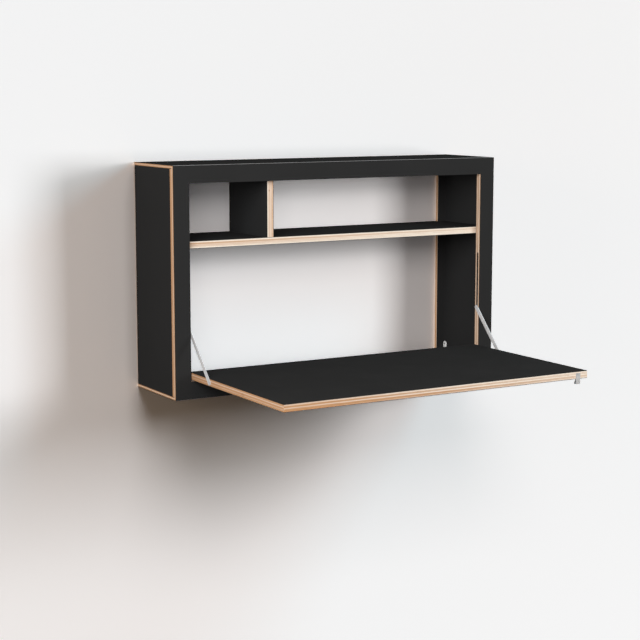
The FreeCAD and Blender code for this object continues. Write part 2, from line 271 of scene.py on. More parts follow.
class NodeBench:
    """A node tree in the making, with short calls for the nodes that the finishes share."""

    def __init__(self, tree):
        self.tree = tree

    def add(self, kind, inputs=None, **settings):
        """A new node with its settings, and its inputs set or linked."""
        node = self.tree.nodes.new(kind)
        for name, value in settings.items():
            setattr(node, name, value)
        for socket, value in (inputs or {}).items():
            self.feed(node.inputs[socket], value)
        return node

    def feed(self, socket, value):
        """Links a socket to another one, or sets its own value."""
        if isinstance(value, bpy.types.NodeSocket):
            self.tree.links.new(value, socket)
        else:
            socket.default_value = value

    def math(self, operation, *values):
        """A number worked out from others."""
        return self.add("ShaderNodeMath", dict(enumerate(values)), operation=operation).outputs[0]

    def vector(self, operation, *values):
        """A vector worked out from others."""
        node = self.add("ShaderNodeVectorMath", dict(enumerate(values)), operation=operation)
        return node.outputs["Vector"]

    def measure(self, operation, *values):
        """A number worked out from vectors."""
        node = self.add("ShaderNodeVectorMath", dict(enumerate(values)), operation=operation)
        return node.outputs["Value"]

    def mix(self, share, first, second):
        """A number between two others."""
        return self.add("ShaderNodeMix", {0: share, 2: first, 3: second}, data_type="FLOAT").outputs[0]

    def tint(self, share, first, second):
        """A colour between two others."""
        return self.add("ShaderNodeMix", {0: share, 6: first, 7: second}, data_type="RGBA").outputs[2]

    def ramp(self, value, start, end, low=0.0, high=1.0):
        """A smooth step from low at start to high at end."""
        inputs = {"Value": value, "From Min": start, "From Max": end, "To Min": low, "To Max": high}
        return self.add("ShaderNodeMapRange", inputs, interpolation_type="SMOOTHSTEP").outputs[0]

    def stretch(self, vector, scale, turn=(0.0, 0.0, 0.0)):
        """A vector turned and then scaled along each axis."""
        turned = self.add("ShaderNodeMapping", {"Vector": vector, "Rotation": turn}).outputs[0]
        return self.add("ShaderNodeMapping", {"Vector": turned, "Scale": scale}).outputs[0]

    def noise(self, vector, scale=1.0, detail=2.0, roughness=0.5):
        """Soft noise between 0 and 1."""
        inputs = {"Vector": vector, "Scale": scale, "Detail": detail, "Roughness": roughness}
        return self.add("ShaderNodeTexNoise", inputs).outputs[0]

    def split(self, vector):
        """The three parts of a vector."""
        return self.add("ShaderNodeSeparateXYZ", {0: vector}).outputs

    def join(self, *values):
        """A vector from its three parts."""
        return self.add("ShaderNodeCombineXYZ", dict(enumerate(values))).outputs[0]

    def brighten(self, color, value):
        """A colour times a brightness."""
        return self.add("ShaderNodeHueSaturation", {"Color": color, "Value": value}).outputs[0]

    def group(self, name, inputs):
        """A shared effect placed with its own values."""
        return self.add("ShaderNodeGroup", inputs, node_tree=bpy.data.node_groups[name]).outputs

    def finish(self, color, roughness, relief, depth, **plain):
        """The surface shader, its relief a bump of that depth, and plain values set on its own sockets."""
        bump = self.add("ShaderNodeBump", {"Height": relief, "Distance": depth, "Strength": 1.0})
        inputs = {"Base Color": color, "Roughness": roughness, "Normal": bump.outputs[0]}
        inputs.update((name.replace("_", " "), value) for name, value in plain.items())
        shader = self.add("ShaderNodeBsdfPrincipled", inputs)
        self.add("ShaderNodeOutputMaterial", {"Surface": shader.outputs[0]})


def opaque(color):
    """A setting's colour as a socket value."""
    return (*color, 1.0)


def start_group(name, inputs, outputs):
    """A new node group with named sockets, and the bench to build it on."""
    group = bpy.data.node_groups.new(name, "ShaderNodeTree")
    for label, kind in inputs:
        group.interface.new_socket(label, in_out="INPUT", socket_type=kind)
    for label, kind in outputs:
        group.interface.new_socket(label, in_out="OUTPUT", socket_type=kind)
    bench = NodeBench(group)
    return bench, bench.add("NodeGroupInput").outputs, bench.add("NodeGroupOutput").inputs


def start_material(name):
    """A new material with an empty tree, and the bench to build it on."""
    material = bpy.data.materials.new(name)
    material.use_nodes = True
    material.node_tree.nodes.clear()
    return material, NodeBench(material.node_tree)


# Shared effects

# A scale counts features per metre, in all directions or along each axis. A ramp holds where it starts and
# ends and, unless they are 0 and 1, its values there. A blend holds a factor and what is added.
NOISE_MIDDLE = 0.5
FADE_RAMP = (0.0, 1.0, 1.0, 0.0)

# Veneer Layers: the grain's scales are along the veneers, across them (per veneer) and into the edge. Heights
# stay off both faces by the face margin, a share of a veneer, so that no face shows a seam.
FACE_MARGIN = 0.4
SEAM_DRIFT_SCALE = 6.0
SEAM_DRIFT = 0.5
SEED_STEP = 31.0
STREAK_SCALE = (22.0, 2.6, 260.0)
FLECK_SCALE = (1300.0, 3.0, 1300.0)
DARK_LAYER_RAMP = (0.35, 1.0, 0.0, 0.6)
GRAIN_SHADE = 0.55
PALE_SHIFT = 0.24
END_GRAIN_BLEND = (0.35, 0.40)
SEAM_RAMP = (0.03, 0.15, 1.0, 0.0)
SEAM_FADE_RAMP = (0.3, 0.7, 0.3, 0.9)
GAP_SCALE = 34.0
GAP_ROW_STEP = 0.37
GAP_RAMP = (0.71, 0.76)
GAP_RIM_RAMP = (0.15, 0.35)
WOOD_ROUGHNESS_BLEND = (0.16, 0.42)

# Sheet Pores
SHEET_CLOUD_SCALE = 7.0
SHEET_WIPE_SCALE = (3.0, 40.0, 40.0)
SHEET_CLOUD_BLEND = (0.16, 0.92)
SHEET_CLOUD_ROUGHNESS = 0.10
SHEET_WIPE_ROUGHNESS = 0.08
SHEET_ROUGHNESS_MIDDLE = 0.09

# Settled Dust
SPECK_SCALE = 260.0
SPECK_RAMP = (0.05, 0.16, 1.0, 0.0)
DUST_PATCH_SCALE = 11.0
DUST_PATCH_RAMP = (0.42, 0.72)
DUST_FILM_BLEND = (0.1, 0.25)
FACING_UP_RAMP = (0.6, 0.95)

# Worn Edge
RUB_SCALE = 90.0
RUB_REACH_RAMP = (0.3, 0.75, 0.1, 1.6)

# Brushed Lines
LINE_SCALE = (60.0, 5200.0, 5200.0)
LINE_SHADE = 0.16
LINE_ROUGHNESS = 0.18
METAL_CLOUD_SCALE = 70.0
METAL_CLOUD_BLEND = (0.10, 0.87)
METAL_CLOUD_ROUGHNESS = 0.14
METAL_ROUGHNESS_MIDDLE = 0.16


def make_veneer_layers():
    """Raw plywood edge: veneers with long grain and end grain in turn, glue lines, streaks and small gaps."""
    bench, given, made = start_group(
        "Veneer Layers",
        (
            ("Height", FLOAT), ("Along", FLOAT), ("Into", FLOAT), ("Veneer", FLOAT), ("Count", FLOAT),
            ("Turned", FLOAT), ("Seed", FLOAT), ("Tone", FLOAT),
            ("Pale", COLOR), ("Tan", COLOR), ("Glue", COLOR),
        ),
        (("Color", COLOR), ("Roughness", FLOAT), ("Relief", FLOAT)),
    )
    drift = bench.noise(bench.join(given["Along"], given["Into"], given["Seed"]), scale=SEAM_DRIFT_SCALE)
    inner = bench.math("MAXIMUM", bench.math("DIVIDE", given["Height"], given["Veneer"]), FACE_MARGIN)
    inner = bench.math("MINIMUM", inner, bench.math("SUBTRACT", given["Count"], FACE_MARGIN))
    level = bench.math("MULTIPLY_ADD", bench.math("SUBTRACT", drift, NOISE_MIDDLE), SEAM_DRIFT, inner)
    layer = bench.math("FLOOR", level)
    inside = bench.math("FRACT", level)
    end_grain = bench.math("FLOORED_MODULO", bench.math("ADD", layer, given["Turned"]), 2.0)
    key = bench.math("MULTIPLY_ADD", given["Seed"], SEED_STEP, layer)
    tone = bench.add("ShaderNodeTexWhiteNoise", {"W": key}, noise_dimensions="1D").outputs[0]
    place = bench.join(given["Along"], level, given["Into"])
    streak = bench.noise(bench.stretch(place, STREAK_SCALE), detail=4.0, roughness=0.6)
    fleck = bench.noise(bench.stretch(place, FLECK_SCALE), detail=2.0)
    grain = bench.mix(end_grain, streak, fleck)
    dark_layer = bench.ramp(tone, *DARK_LAYER_RAMP)
    shade = bench.math("MULTIPLY_ADD", grain, GRAIN_SHADE, bench.math("SUBTRACT", dark_layer, PALE_SHIFT))
    darker = bench.math("MULTIPLY_ADD", given["Turned"], *END_GRAIN_BLEND)
    shade = bench.math("MULTIPLY_ADD", end_grain, darker, bench.math("ADD", shade, given["Tone"]))
    wood = bench.tint(shade, given["Pale"], given["Tan"])
    rim = bench.math("MINIMUM", inside, bench.math("SUBTRACT", 1.0, inside))
    faint = bench.ramp(streak, *SEAM_FADE_RAMP)
    seam = bench.math("MULTIPLY", bench.ramp(rim, *SEAM_RAMP), faint)
    own_row = bench.math("MULTIPLY", layer, GAP_ROW_STEP)
    patch = bench.noise(bench.join(given["Along"], own_row, given["Seed"]), scale=GAP_SCALE)
    gap = bench.math("MULTIPLY", bench.ramp(patch, *GAP_RAMP), bench.ramp(rim, *GAP_RIM_RAMP))
    gap = bench.math("MULTIPLY", gap, end_grain)
    marked = bench.math("MAXIMUM", seam, gap)
    bench.feed(made["Color"], bench.tint(marked, wood, given["Glue"]))
    bench.feed(made["Roughness"], bench.math("MULTIPLY_ADD", grain, *WOOD_ROUGHNESS_BLEND))
    bench.feed(made["Relief"], bench.math("SUBTRACT", grain, marked))


def make_sheet_pores():
    """Matt laminate or moulded nylon: fine pores, faint clouding and wiped streaks."""
    bench, given, made = start_group(
        "Sheet Pores",
        (("Place", VECTOR), ("Pore", FLOAT), ("Sheet", COLOR), ("Matt", FLOAT)),
        (("Color", COLOR), ("Roughness", FLOAT), ("Relief", FLOAT)),
    )
    pores = bench.noise(given["Place"], scale=bench.math("DIVIDE", 1.0, given["Pore"]), detail=1.0)
    cloud = bench.noise(given["Place"], scale=SHEET_CLOUD_SCALE, detail=4.0)
    wipe = bench.noise(bench.stretch(given["Place"], SHEET_WIPE_SCALE), detail=3.0)
    value = bench.math("MULTIPLY_ADD", cloud, *SHEET_CLOUD_BLEND)
    bench.feed(made["Color"], bench.brighten(given["Sheet"], value))
    clouded = bench.math("MULTIPLY", cloud, SHEET_CLOUD_ROUGHNESS)
    wiped = bench.math("MULTIPLY", wipe, SHEET_WIPE_ROUGHNESS)
    uneven = bench.math("SUBTRACT", bench.math("ADD", clouded, wiped), SHEET_ROUGHNESS_MIDDLE)
    bench.feed(made["Roughness"], bench.math("ADD", given["Matt"], uneven))
    bench.feed(made["Relief"], pores)


def make_settled_dust():
    """A thin film of dust, and specks in loose patches, on faces that look up."""
    bench, given, made = start_group("Settled Dust", (("Place", VECTOR), ("Up", FLOAT)), (("Mask", FLOAT),))
    cells = bench.add("ShaderNodeTexVoronoi", {"Vector": given["Place"], "Scale": SPECK_SCALE})
    speck = bench.ramp(cells.outputs["Distance"], *SPECK_RAMP)
    patch = bench.ramp(bench.noise(given["Place"], scale=DUST_PATCH_SCALE, detail=3.0), *DUST_PATCH_RAMP)
    film = bench.math("MULTIPLY_ADD", patch, *DUST_FILM_BLEND)
    lying = bench.math("MAXIMUM", bench.math("MULTIPLY", speck, patch), film)
    bench.feed(made["Mask"], bench.math("MULTIPLY", lying, bench.ramp(given["Up"], *FACING_UP_RAMP)))


def make_worn_edge():
    """Rubbing along the edges of a board that fills the box from Low to High."""
    bench, given, made = start_group(
        "Worn Edge",
        (("Place", VECTOR), ("Low", VECTOR), ("High", VECTOR), ("Reach", FLOAT)),
        (("Mask", FLOAT),),
    )
    margins = []
    for first, second in ((given["Place"], given["Low"]), (given["High"], given["Place"])):
        margins += bench.split(bench.vector("SUBTRACT", first, second))
    nearest = margins[0]
    for margin in margins[1:]:
        nearest = bench.math("MINIMUM", nearest, margin)
    uneven = bench.noise(given["Place"], scale=RUB_SCALE, detail=4.0, roughness=0.7)
    reach = bench.math("MULTIPLY", given["Reach"], bench.ramp(uneven, *RUB_REACH_RAMP))
    bench.feed(made["Mask"], bench.ramp(bench.math("DIVIDE", nearest, reach), *FADE_RAMP))


def make_brushed_lines():
    """Satin metal brushed along the X of Place, with faint clouding and handling marks."""
    bench, given, made = start_group(
        "Brushed Lines",
        (("Place", VECTOR), ("Metal", COLOR), ("Satin", FLOAT)),
        (("Color", COLOR), ("Roughness", FLOAT), ("Relief", FLOAT)),
    )
    lines = bench.noise(bench.stretch(given["Place"], LINE_SCALE), detail=3.0, roughness=0.65)
    cloud = bench.noise(given["Place"], scale=METAL_CLOUD_SCALE, detail=3.0)
    clouded = bench.math("MULTIPLY_ADD", cloud, *METAL_CLOUD_BLEND)
    value = bench.math("MULTIPLY_ADD", lines, LINE_SHADE, clouded)
    bench.feed(made["Color"], bench.brighten(given["Metal"], value))
    marked = bench.math("MULTIPLY", cloud, METAL_CLOUD_ROUGHNESS)
    uneven = bench.math("MULTIPLY_ADD", lines, LINE_ROUGHNESS, marked)
    uneven = bench.math("SUBTRACT", uneven, METAL_ROUGHNESS_MIDDLE)
    bench.feed(made["Roughness"], bench.math("ADD", given["Satin"], uneven))
    bench.feed(made["Relief"], lines)


def make_shared_effects():
    """Builds each shared effect once."""
    for name, make in (
        ("Veneer Layers", make_veneer_layers),
        ("Sheet Pores", make_sheet_pores),
        ("Settled Dust", make_settled_dust),
        ("Worn Edge", make_worn_edge),
        ("Brushed Lines", make_brushed_lines),
    ):
        if name not in bpy.data.node_groups:
            make()


# Finishes

# Depth of each relief, in metres
PLYWOOD_RELIEF = 0.00012
LAMINATE_RELIEF = 0.00002
METAL_RELIEF = 0.00001
NYLON_RELIEF = 0.00001
BEECH_RELIEF = 0.00005

# Painted shade in the grooves darkens between these depths past the glides' near ends, and ends this far past
# their far ends
GROOVE_SHADE_DEPTHS = (0.0004, 0.0012)
GROOVE_CLEAR = 0.001

# The flap's knot
KNOT_RINGS = 11.0
KNOT_RING_SHADE = 0.2
KNOT_SPECKLE_SCALE = 420.0
KNOT_SPECKLE_RAMP = (0.35, 0.65, 0.1, 0.8)
KNOT_RIM_RAMP = (0.5, 1.0, 1.0, 0.0)

# Plywood: a face that looks along its grain by more than this share shows end grain
END_GRAIN_FACING = 0.5
PLYWOOD_SPECULAR = 0.3

# Laminate: a board's faces are moved this far out of reach, so that only its edges count as worn
FACE_CLEAR = 1.0
ARRIS_SLANT_RAMP = (0.2, 0.4)
LAMINATE_SPECULAR = 0.0

# Metal and nylon
# Faces that look along X by this share get the painted side shade
SIDE_SHADE_RAMP = (0.6, 0.9)
NYLON_PORE = 0.0003
NYLON_ROUGHNESS = 0.45

# Beech: growth rings counted from a plane outside the desk, so that no dowel has a face veneer
BEECH_RING = 0.004
BEECH_RINGS = 1000.0
BEECH_PLANE = 1.0


def groove_shade_mask(bench, place):
    """How much painted shade a place gets deep in the front frame's grooves, from 0 at the edge that they are
    cut in.
    """
    low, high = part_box("stay_glide_right")
    out = bench.math("ABSOLUTE", place[X])
    deep = bench.ramp(out, *(low.x + depth for depth in GROOVE_SHADE_DEPTHS))
    return bench.math("MULTIPLY", deep, bench.math("LESS_THAN", out, high.x + GROOVE_CLEAR))


def knot_share(bench, place, settings):
    """How much of a place's colour is a knot's: speckled, with faint rings, and none past its rim."""
    middle = settings.knot
    along = bench.math("DIVIDE", bench.math("SUBTRACT", place[Y], middle[Y]), settings.knot_length)
    up = bench.math("DIVIDE", bench.math("SUBTRACT", place[Z], middle[Z]), settings.knot_height)
    deep = bench.math("DIVIDE", bench.math("SUBTRACT", place[X], middle[X]), settings.knot_length)
    away = bench.measure("LENGTH", bench.join(deep, along, up))
    rings = bench.math("SINE", bench.math("MULTIPLY", away, KNOT_RINGS))
    speckle = bench.ramp(bench.noise(bench.join(*place), scale=KNOT_SPECKLE_SCALE), *KNOT_SPECKLE_RAMP)
    dark = bench.math("MULTIPLY_ADD", rings, KNOT_RING_SHADE, speckle)
    return bench.math("MULTIPLY", dark, bench.ramp(away, *KNOT_RIM_RAMP))


def board_tone_and_painted_light(bench, place, turned, board, tones):
    """How tan a board is along its width, partly as painted light paling it towards the right, and on its
    end-grain edges.
    """
    low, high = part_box(board)
    first, last, ends = tones
    inputs = {"Value": place[X], "From Min": low.x, "From Max": high.x, "To Min": first, "To Max": last}
    along = bench.add("ShaderNodeMapRange", inputs).outputs[0]
    return along if ends is None else bench.mix(turned, along, ends)


def plywood_finish(board, across, grain, tones, settings, seed):
    """Raw birch plywood for one core, an odd number of veneers counted across the board."""
    low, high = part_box(board)
    thickness = high[across] - low[across]
    veneers = 2 * round((thickness / settings.veneer - 1) / 2) + 1
    other = X + Y + Z - across - grain
    material, bench = start_material(f"Birch plywood {board}")
    coordinates = bench.add("ShaderNodeTexCoord").outputs
    place = bench.split(coordinates["Object"])
    facing = bench.split(coordinates["Normal"])
    turned = bench.math("GREATER_THAN", bench.math("ABSOLUTE", facing[grain]), END_GRAIN_FACING)
    edge = bench.group("Veneer Layers", {
        "Height": bench.math("SUBTRACT", place[across], low[across]),
        "Along": bench.mix(turned, place[grain], place[other]),
        "Into": bench.mix(turned, place[other], place[grain]),
        "Veneer": thickness / veneers,
        "Count": float(veneers),
        "Turned": turned,
        "Seed": float(seed),
        "Tone": board_tone_and_painted_light(bench, place, turned, board, tones),
        "Pale": opaque(settings.pale),
        "Tan": opaque(settings.tan),
        "Glue": opaque(settings.glue),
    })
    color = edge["Color"]
    # The front frame's grooves get painted shade, darker the deeper they go
    if board == "front_frame":
        color = bench.tint(groove_shade_mask(bench, place), color, opaque(settings.groove_shade))
    if board == "flap":
        color = bench.tint(knot_share(bench, place, settings), color, opaque(settings.glue))
    bench.finish(
        color, edge["Roughness"], edge["Relief"], PLYWOOD_RELIEF, Specular_IOR_Level=PLYWOOD_SPECULAR
    )
    return material


def laminate_finish(board, across, settings):
    """Black laminate for the sheets of one board, with dust, rubbed edges and a broken arris painted paler,
    partly as its core and partly as a painted highlight.
    """
    low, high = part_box(f"{board}_laminate")
    low[across] -= FACE_CLEAR
    high[across] += FACE_CLEAR
    material, bench = start_material(f"Black laminate {board}")
    coordinates = bench.add("ShaderNodeTexCoord").outputs
    facing = bench.split(coordinates["Normal"])
    sheet = bench.group("Sheet Pores", {
        "Place": coordinates["Object"],
        "Pore": settings.pore,
        "Sheet": opaque(settings.sheet),
        "Matt": settings.matt,
    })
    dust = bench.group("Settled Dust", {"Place": coordinates["Object"], "Up": facing[Z]})
    worn = bench.group("Worn Edge", {
        "Place": coordinates["Object"], "Low": low, "High": high, "Reach": settings.wear_reach,
    })
    slant = bench.math("ABSOLUTE", bench.math("MULTIPLY", facing[Y], facing[Z]))
    color = bench.tint(worn["Mask"], sheet["Color"], opaque(settings.worn))
    dusty = bench.math("MULTIPLY", dust["Mask"], settings.dust_share)
    color = bench.tint(dusty, color, opaque(settings.dust))
    # The slanted faces of the broken arris are painted pale grey, partly as a painted highlight
    color = bench.tint(bench.ramp(slant, *ARRIS_SLANT_RAMP), color, opaque(settings.arris))
    bench.finish(
        color, sheet["Roughness"], sheet["Relief"], LAMINATE_RELIEF, Specular_IOR_Level=LAMINATE_SPECULAR
    )
    return material


def metal_finish(name, color, satin, turn=(0.0, 0.0, 0.0), metallic=1.0, side_shade=None):
    """Brushed metal, its lines along X after the turn, and painted shade on its left and right sides if
    given.
    """
    material, bench = start_material(name)
    coordinates = bench.add("ShaderNodeTexCoord").outputs
    turned = bench.add("ShaderNodeMapping", {"Vector": coordinates["Object"], "Rotation": turn}).outputs[0]
    metal = bench.group("Brushed Lines", {"Place": turned, "Metal": opaque(color), "Satin": satin})
    shade = metal["Color"]
    # Painted shade darkens the sides that face along X
    if side_shade:
        aside = bench.math("ABSOLUTE", bench.split(coordinates["Normal"])[X])
        shade = bench.tint(bench.ramp(aside, *SIDE_SHADE_RAMP), shade, opaque(side_shade))
    bench.finish(shade, metal["Roughness"], metal["Relief"], METAL_RELIEF, Metallic=metallic)
    return material


def nylon_finish(color):
    """Moulded nylon with a fine grain."""
    material, bench = start_material("Natural nylon")
    place = bench.add("ShaderNodeTexCoord").outputs["Object"]
    nylon = bench.group("Sheet Pores", {
        "Place": place, "Pore": NYLON_PORE, "Sheet": opaque(color), "Matt": NYLON_ROUGHNESS,
    })
    bench.finish(nylon["Color"], nylon["Roughness"], nylon["Relief"], NYLON_RELIEF)
    return material


def beech_finish(pale, fleck, along):
    """Turned beech, its grain along one axis."""
    material, bench = start_material(f"Beech dowel along {'XYZ'[along]}")
    place = bench.split(bench.add("ShaderNodeTexCoord").outputs["Object"])
    grain = bench.group("Veneer Layers", {
        "Height": bench.math("ADD", place[(along + 1) % 3], BEECH_PLANE),
        "Along": place[along],
        "Into": place[(along + 2) % 3],
        "Veneer": BEECH_RING,
        "Count": BEECH_RINGS,
        "Pale": opaque(pale),
        "Tan": opaque(fleck),
        "Glue": opaque(fleck),
    })
    bench.finish(grain["Color"], grain["Roughness"], grain["Relief"], BEECH_RELIEF)
    return material


def dress(node, material):
    """Gives a carried-over node its finish."""
    slots = frame["nodes"][node].material_slots
    if not slots:
        frame["nodes"][node].data.materials.append(material)
    for slot in slots:
        slot.material = material


# Rounded metal pieces

MERGE = 1e-6
FLAT = math.radians(0.5)
SHARP = math.radians(50.0)
SMOOTH = math.radians(40.0)
ROUND_STEPS = 2
ROUND_PROFILE = 0.5


def rounded_piece(node, name, material):
    """A copy of a stamped or turned node with its sharp edges rounded, standing for that node."""
    settings = bpy.context.scene.desk_fittings
    shape = bmesh.new()
    shape.from_mesh(frame["nodes"][node].data)
    bmesh.ops.remove_doubles(shape, verts=shape.verts, dist=MERGE)
    bmesh.ops.dissolve_limit(shape, angle_limit=FLAT, verts=shape.verts, edges=shape.edges)
    edges = [edge for edge in shape.edges if edge.is_manifold and edge.calc_face_angle() > SHARP]
    if not edges:
        raise RuntimeError(f"{node} has no sharp edge to round")
    bmesh.ops.bevel(
        shape, geom=edges, offset=settings.edge_round, segments=ROUND_STEPS, profile=ROUND_PROFILE,
        affect="EDGES", clamp_overlap=True,
    )
    mesh = bpy.data.meshes.new(name)
    shape.to_mesh(mesh)
    shape.free()
    mesh.shade_smooth()
    mesh.set_sharp_from_angle(angle=SMOOTH)
    mesh.materials.append(material)
    piece = bpy.data.objects.new(name, mesh)
    bpy.context.scene.collection.objects.link(piece)
    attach(piece, frame["nodes"][node]["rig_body"])
    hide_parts(node)


# Operators

class WALLDESK_OT_laminate_sheets(Operator):
    """Finish the black sheets on every board"""

    bl_idname = "wall_desk.laminate_sheets"
    bl_label = "Laminate Sheets"

    def execute(self, context):
        make_shared_effects()
        for board, (across, _, _) in BOARDS.items():
            dress(f"{board}_laminate", laminate_finish(board, across, context.scene.desk_laminate))
        return {"FINISHED"}


class WALLDESK_OT_plywood_cores(Operator):
    """Finish the raw plywood edges of every board"""

    bl_idname = "wall_desk.plywood_cores"
    bl_label = "Plywood Cores"

    def execute(self, context):
        make_shared_effects()
        for seed, (board, (across, grain, tones)) in enumerate(BOARDS.items()):
            dress(board, plywood_finish(board, across, grain, tones, context.scene.desk_plywood, seed))
        return {"FINISHED"}


class WALLDESK_OT_dowels(Operator):
    """Finish the beech dowels inside the joints"""

    bl_idname = "wall_desk.dowels"
    bl_label = "Dowels"

    def execute(self, context):
        make_shared_effects()
        settings = context.scene.desk_fittings
        for node, along in (("case_dowels", Y), ("shelf_dowels", X), ("divider_dowels", Z)):
            dress(node, beech_finish(settings.beech, settings.beech_fleck, along))
        return {"FINISHED"}


class WALLDESK_OT_stays(Operator):
    """Round and finish the two stays, with their pins and screws"""

    bl_idname = "wall_desk.stays"
    bl_label = "Stays"

    def execute(self, context):
        make_shared_effects()
        settings = context.scene.desk_fittings
        low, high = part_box("stay_left")
        slope = math.atan2(high.z - low.z, high.y - low.y)
        along_bar = (0.0, -slope, QUARTER_TURN)
        brushed = metal_finish(
            "Satin steel stay", settings.steel, SATIN["stay"], turn=along_bar, metallic=settings.matt_metal
        )
        plated = metal_finish("Zinc plated stay screw", settings.zinc, SATIN["stay_screw"])
        turned = metal_finish("Turned steel stay pin", settings.steel, SATIN["stay_pin"])
        for side in SIDES:
            rounded_piece(f"stay_{side}", f"stay_bar_{side}", brushed)
            rounded_piece(f"stay_screw_{side}", f"stay_screw_head_{side}", plated)
            dress(f"stay_pin_{side}", turned)
        return {"FINISHED"}


class WALLDESK_OT_glides(Operator):
    """Finish the nylon glides in the frame's grooves"""

    bl_idname = "wall_desk.glides"
    bl_label = "Glides"

    def execute(self, context):
        make_shared_effects()
        nylon = nylon_finish(context.scene.desk_fittings.nylon)
        for side in SIDES:
            dress(f"stay_glide_{side}", nylon)
        return {"FINISHED"}


class WALLDESK_OT_hinges(Operator):
    """Finish the hinge pins and their brass bushes"""

    bl_idname = "wall_desk.hinges"
    bl_label = "Hinges"

    def execute(self, context):
        make_shared_effects()
        settings = context.scene.desk_fittings
        turned = metal_finish("Turned steel hinge pin", settings.steel, SATIN["hinge_pin"])
        brass = metal_finish("Brass hinge bush", settings.brass, SATIN["hinge_bush"])
        for side in SIDES:
            dress(f"hinge_pin_{side}", turned)
            dress(f"hinge_bush_{side}", brass)
        return {"FINISHED"}


class WALLDESK_OT_corner_brackets(Operator):
    """Round and finish the rear corner brackets and their screws"""

    bl_idname = "wall_desk.corner_brackets"
    bl_label = "Corner Brackets"

    def execute(self, context):
        make_shared_effects()
        settings = context.scene.desk_fittings
        upright = (0.0, QUARTER_TURN, 0.0)
        stamped = metal_finish(
            "Plated bracket", settings.bracket, SATIN["bracket"], turn=upright, metallic=settings.dull_metal
        )
        plated = metal_finish("Zinc plated bracket screw", settings.zinc, SATIN["bracket_screw"])
        for side in SIDES:
            rounded_piece(f"corner_bracket_{side}", f"bracket_plate_{side}", stamped)
        rounded_piece("bracket_screws", "bracket_screw_heads", plated)
        return {"FINISHED"}


class WALLDESK_OT_pull_tab(Operator):
    """Round and finish the pull tab, its screw and the catch magnet"""

    bl_idname = "wall_desk.pull_tab"
    bl_label = "Pull Tab"

    def execute(self, context):
        make_shared_effects()
        settings = context.scene.desk_fittings
        # The tab's left and right sides get painted shade
        stamped = metal_finish(
            "Satin steel pull tab", settings.tab, SATIN["pull_tab"],
            metallic=settings.dull_metal, side_shade=settings.side_shade,
        )
        rounded_piece("pull_tab", "pull_tab_plate", stamped)
        plated = metal_finish(
            "Zinc plated tab screw", settings.tab, SATIN["tab_screw"], metallic=settings.matt_metal
        )
        rounded_piece("pull_tab_screw", "pull_tab_screw_head", plated)
        dress("catch_magnet", metal_finish("Nickel plated magnet", settings.nickel, SATIN["magnet"]))
        return {"FINISHED"}


# Stage

WALL_LAMPS = ("key", "high", "front", "side")
INNER_LAMPS = (*WALL_LAMPS, "glow")


def stage_plane(name, corners, material):
    """A flat sheet of the stage."""
    mesh = bpy.data.meshes.new(name)
    mesh.from_pydata(corners, [], [(0, 1, 2, 3)])
    mesh.materials.append(material)
    plane = bpy.data.objects.new(name, mesh)
    bpy.context.scene.collection.objects.link(plane)
    return plane


def bare_light(bench, place, normal, lamp_place, power):
    """How brightly one lamp lights a white sheet at a place, with nothing in between."""
    # Each side is a cosine times the ray's length, and light falls off with the square of that length.
    aim = (desk_middle() - Vector(lamp_place)).normalized()
    ray = bench.vector("SUBTRACT", lamp_place, place)
    lamp_side = bench.math("MAXIMUM", bench.measure("DOT_PRODUCT", ray, -aim), 0.0)
    sheet_side = bench.math("MAXIMUM", bench.measure("DOT_PRODUCT", ray, normal), 0.0)
    reach = bench.math("POWER", bench.measure("LENGTH", ray), 4.0)
    spread = bench.math("DIVIDE", bench.math("MULTIPLY", lamp_side, sheet_side), reach)
    return bench.math("MULTIPLY", spread, power / math.pi ** 2)


def evened_paint(bench, settings, lamps):
    """A sheet's paint over the light that it gets when bare, so that only the desk's shadow shows on it."""
    sheet = bench.add("ShaderNodeNewGeometry").outputs
    level = [settings.sky * share for share in settings.sky_tint]
    for name in lamps:
        lamp_place, _, power, tint = lamp_settings(settings, name)
        light = bare_light(bench, sheet["Position"], sheet["Normal"], lamp_place, power)
        shade = bench.add("ShaderNodeVectorMath", {0: tint, "Scale": light}, operation="SCALE").outputs[0]
        level = bench.vector("ADD", level, shade)
    return bench.vector("DIVIDE", settings.wall, level)


def plaster_finish(name, settings, lamps):
    """Pale painted plaster, even to the eye, and clear from behind so that the desk's back stays in view."""
    material, bench = start_material(name)
    ray = bench.add("ShaderNodeLightPath").outputs
    seen = bench.math("MAXIMUM", ray["Is Camera Ray"], ray["Is Glossy Ray"])
    paint = bench.tint(seen, opaque(settings.wall), evened_paint(bench, settings, lamps))
    matt = bench.add("ShaderNodeBsdfDiffuse", {"Color": paint})
    clear = bench.add("ShaderNodeBsdfTransparent")
    behind = bench.add("ShaderNodeNewGeometry").outputs["Backfacing"]
    shown = bench.add("ShaderNodeMixShader", {0: behind, 1: matt.outputs[0], 2: clear.outputs[0]})
    bench.add("ShaderNodeOutputMaterial", {"Surface": shown.outputs[0]})
    return material


def wall_sheet(name, low, high, back, material):
    """An upright sheet of wall that fills a box's width and height."""
    corners = [(low.x, back, low.z), (high.x, back, low.z), (high.x, back, high.z), (low.x, back, high.z)]
    stage_plane(name, corners, material).visible_shadow = False


def set_room(settings):
    """The wall that the desk hangs on, the part of it that shows inside the case, and the floor."""
    plaster = plaster_finish("Pale plaster", settings, WALL_LAMPS)
    reach, back, ground = settings.stage_reach, settings.wall_gap, -settings.floor_drop
    wall_sheet("wall", Vector((-reach, 0.0, ground)), Vector((reach, 0.0, reach)), back, plaster)
    inner = plaster_finish("Pale plaster inside the case", settings, INNER_LAMPS)
    low, high = Vector(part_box("side_panel_left")[0]), Vector(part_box("side_panel_right")[1])
    wall_sheet("inner_wall", low, high, back / 2, inner)
    corners = [(x, y, ground) for x, y in ((-reach, -reach), (reach, -reach), (reach, back), (-reach, back))]
    stage_plane("floor", corners, plaster).visible_diffuse = False


def desk_middle():
    """The middle of the desk's box."""
    return (CAD_BOX[0] + CAD_BOX[1]) / 2


